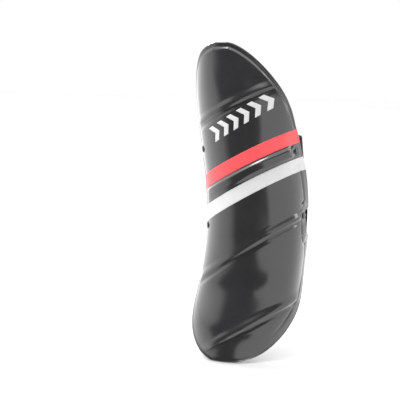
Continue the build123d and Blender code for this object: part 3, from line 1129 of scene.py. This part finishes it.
def turned(profile, angle, z, around=40):
    """Part turned about the form's normal at a place, from (radius, height) points."""
    centre = form_point(np.float64(angle), z)
    axis = form_normal(angle, z)
    side = np.cross(axis, (0, 0, 1))
    side /= np.linalg.norm(side)
    other = np.cross(axis, side)
    turn = np.linspace(0, 2 * math.pi, around, endpoint=False)
    circle = np.cos(turn)[:, None] * side + np.sin(turn)[:, None] * other
    closed = profile[0][0] > 0 and profile[-1][0] > 0
    points = [centre + radius * circle + height * axis for radius, height in profile]
    uv = [np.stack([turn * radius, height + 0 * turn], -1) for radius, height in profile]
    faces = ring_faces(len(profile), around, closed, flip=True)
    return np.concatenate(points), faces, np.concatenate(uv)


def rivet_part(angle, z):
    """Domed head, shank and rolled tail."""
    dome = [(0.0, HEAD_HEIGHT)]
    for turn in np.linspace(0.12, 1.0, 9):
        share = math.sin(turn * math.pi / 2)
        radius = HEAD_RADIUS * share
        dome.append((radius, 0.25 + (HEAD_HEIGHT - 0.25) * math.sqrt(1 - 0.98 * share**4)))
    profile = dome + [
        (HEAD_RADIUS, 0.2), (HEAD_RADIUS - 0.15, 0.05),
        (SHANK_RADIUS, 0.05), (SHANK_RADIUS, TAIL[0]),
        (TAIL_RADIUS - 0.2, TAIL[0]), (TAIL_RADIUS, TAIL[0] - 0.3),
        (TAIL_RADIUS - 0.3, TAIL[1] + 0.1), (TAIL_RADIUS - 0.9, TAIL[1]),
        (1.3, TAIL[1] + 0.25), (0.9, TAIL[1] + 0.7),
        (0.0, TAIL[1] + 0.7),
    ]
    return turned(profile, angle, z)


def washer_part(angle, z):
    top, bottom = WASHER
    hole = SHANK_RADIUS + 0.07
    profile = [
        (hole, top), (WASHER_RADIUS - 0.2, top),
        (WASHER_RADIUS, top - 0.2), (WASHER_RADIUS, bottom + 0.2),
        (WASHER_RADIUS - 0.2, bottom), (hole, bottom),
    ]
    return turned(profile, angle, z)


def make_rivets(steel):
    kinds = (("domed_rivets", rivet_part, "rivets"), ("washers", washer_part, "rivet_washers"))
    for name, part, node_name in kinds:
        piece = merge_close(mesh_piece(name, *joined([part(*place) for place in RIVETS])))
        settle(piece, "guard", steel, node_name)


# ---- stage
CAMERA_AZIMUTH = 21.3
CAMERA_DISTANCE = 1.3
CAMERA_HEIGHT = 0.395
CAMERA_YAW = 2.78
CAMERA_PITCH = 8.62
CAMERA_LENS = 91.2


def make_floor():
    mesh = bpy.data.meshes.new("floor")
    build = bmesh.new()
    bmesh.ops.create_grid(build, x_segments=2, y_segments=2, size=6.0)
    build.to_mesh(mesh)
    build.free()
    floor = link("floor", mesh)
    floor.location.z = -FLOOR_DROP
    material, tree, shader = new_material("floor_paper")
    shader.inputs["Roughness"].default_value = 0.9
    color_by(tree, shader, noise(tree, 3), 0.3, 0.7, (0.56, 0.56, 0.56), (0.58, 0.58, 0.58))
    mesh.materials.append(material)
    floor.visible_glossy = False


def way_out(azimuth, elevation=0.0):
    """Unit vector from the object towards an azimuth and elevation in degrees."""
    a = math.radians(azimuth)
    e = math.radians(elevation)
    return Vector((math.sin(a) * math.cos(e), -math.cos(a) * math.cos(e), math.sin(e)))


def make_camera():
    data = bpy.data.cameras.new("camera")
    data.lens = CAMERA_LENS
    camera = link("camera", data)
    camera.location = way_out(CAMERA_AZIMUTH) * CAMERA_DISTANCE + Vector((0, 0, CAMERA_HEIGHT))
    turn = Matrix.Rotation(math.radians(CAMERA_AZIMUTH) + math.radians(CAMERA_YAW), 4, "Z")
    tilt = Matrix.Rotation(math.radians(90 - CAMERA_PITCH), 4, "X")
    camera.rotation_euler = (turn @ tilt).to_euler()
    bpy.context.scene.camera = camera


def area_light(name, azimuth, elevation, distance, size, power):
    """Rectangular lamp aimed at the object from an azimuth and elevation in degrees."""
    back = way_out(azimuth, elevation)
    data = bpy.data.lights.new(name, "AREA")
    data.shape = "RECTANGLE"
    data.size, data.size_y = size
    data.energy = power
    lamp = link(name, data)
    lamp.location = back * distance + Vector((0, 0, 0.2))
    lamp.rotation_euler = back.to_track_quat("Z", "Y").to_euler()


FLOOR_DROP = 0.0005
DARK = 0.13  # brightness of the studio's dark front
RIGHT_WALL = 1.08
LEFT_WALL = 0.95
LEFT_DEEP = 0.75  # how much brighter the left wall gets towards its far end
CEILING = 1.7
RIGHT_WALL_TOP = (0.14, 0.24)  # heights of the direction over which the right wall ends
CEILING_START = (0.5, 0.75)
# Where each side wall begins, as (height of the direction, turn from the camera in degrees).
RIGHT_WALL_EDGE = (
    (-0.45, -20), (-0.36, -12), (-0.3, 9), (-0.22, 8),
    (-0.12, 3), (0.0, -5), (0.12, -14),
)
LEFT_WALL_EDGE = ((-0.3, -52), (-0.2, -58), (-0.04, -66), (0.08, -70), (0.17, -62), (0.25, -54))


def wall_edge(tree, height, stations):
    """Turn in radians at which a wall begins, for each height of the direction."""
    value = math.radians(stations[0][1])
    for (low, before), (high, after) in zip(stations, stations[1:]):
        step = math.radians(after - before)
        value = calc(tree, "MULTIPLY_ADD", eased(tree, height, low, high), step, value)
    return value


def part_along(tree, direction, axis):
    """Component of a direction along an axis."""
    inputs = {0: direction, 1: axis}
    return node(tree, "VectorMath", inputs, "Value", operation="DOT_PRODUCT")


def make_world():
    """Studio with pale side walls and ceiling and a dark front, pure white to the camera."""
    world = bpy.data.worlds.new("studio")
    world.use_nodes = True
    tree = world.node_tree
    background = tree.nodes["Background"]
    background.inputs["Color"].default_value = (1, 1, 1, 1)
    direction = node(tree, "TexCoord", {}, "Generated")
    front = part_along(tree, direction, way_out(CAMERA_AZIMUTH))
    beside = part_along(tree, direction, way_out(CAMERA_AZIMUTH + 90))
    up = part_along(tree, direction, (0, 0, 1))
    turn = calc(tree, "ARCTAN2", beside, front)
    right_turn = calc(tree, "SUBTRACT", turn, wall_edge(tree, up, RIGHT_WALL_EDGE))
    right_top = calc(tree, "SUBTRACT", 1.0, eased(tree, up, *RIGHT_WALL_TOP))
    right = calc(tree, "MULTIPLY", eased(tree, right_turn, -0.02, 0.16), right_top)
    left_turn = calc(tree, "SUBTRACT", wall_edge(tree, up, LEFT_WALL_EDGE), turn)
    left = eased(tree, left_turn, -0.1, 0.2)
    deep = calc(tree, "MULTIPLY", eased(tree, left_turn, 0.1, 1.0), left)
    ceiling = eased(tree, up, *CEILING_START)
    level = DARK
    lit = ((right, RIGHT_WALL), (left, LEFT_WALL), (deep, LEFT_DEEP), (ceiling, CEILING))
    for share, brightness in lit:
        level = calc(tree, "MULTIPLY_ADD", share, brightness, level)
    seen = node(tree, "LightPath", {}, "Is Camera Ray")
    strength = node(tree, "Mix", {0: seen, 2: level, 3: 1.0})
    tree.links.new(strength, background.inputs["Strength"])
    bpy.context.scene.world = world
    bpy.context.scene.view_settings.view_transform = "Standard"


def make_light():
    make_world()
    area_light("key_above", -35, 62, 1.6, (0.7, 0.7), 16)
    area_light("rim_right", 112, 25, 1.4, (0.35, 1.1), 4)
    area_light("key_back", 235, 42, 1.5, (0.5, 0.5), 14)


# ---- assembly
def make_object():
    white = ink_material("white_ink", (0.65, 0.65, 0.655), (0.69, 0.69, 0.69))
    red = ink_material("red_ink", (0.88, 0.075, 0.085), (0.92, 0.095, 0.105))
    webbing = woven_material("strap_webbing", (0.004, 0.004, 0.004), (0.022, 0.022, 0.023), 1.3)
    binding = woven_material("binding_tape", (0.015, 0.015, 0.016), (0.05, 0.05, 0.052), 0.8)
    lining = knit_material("lining_knit", (0.008, 0.008, 0.009), (0.05, 0.052, 0.056), 1.8)
    padding = knit_material("pad_knit", (0.012, 0.0125, 0.0135), (0.075, 0.078, 0.083), 2.4)
    backing = knit_material("backing_loop", (0.01, 0.01, 0.011), (0.05, 0.05, 0.053), 1.2)
    hooks = hook_material("hook_tape", (0.01, 0.01, 0.011), (0.06, 0.06, 0.062))
    loops = hook_material("loop_tape", (0.015, 0.015, 0.016), (0.075, 0.075, 0.078))
    elastic = elastic_material()
    rubber = rubber_material()
    steel = steel_material()
    thread = thread_material()
    make_shell(shell_material())
    make_stripe("red_stripe", RED_STRIPE, red)
    make_stripe("white_stripe", WHITE_STRIPE, white)
    make_mark(white)
    make_flat_layer("liner_backing_fabric", BACKING, backing, "liner_backing")
    make_flat_layer("liner_foam_sheet", FOAM, foam_material(), "liner_foam")
    make_face(lining)
    make_binding(binding, thread)
    make_pad("knee_pad", KNEE_PAD, padding)
    make_pad("instep_pad", INSTEP_PAD, padding)
    make_hook_patches(hooks)
    make_rivets(steel)
    for name in STRAP_HEIGHTS:
        make_anchor_tab(name, webbing, thread)
        make_elastic(name, elastic)
        make_hook_end(name, webbing, hooks, thread)
        make_grip(name, rubber)
        make_loop_tab(name, loops, thread)


make_object()
make_floor()
make_light()
make_camera()
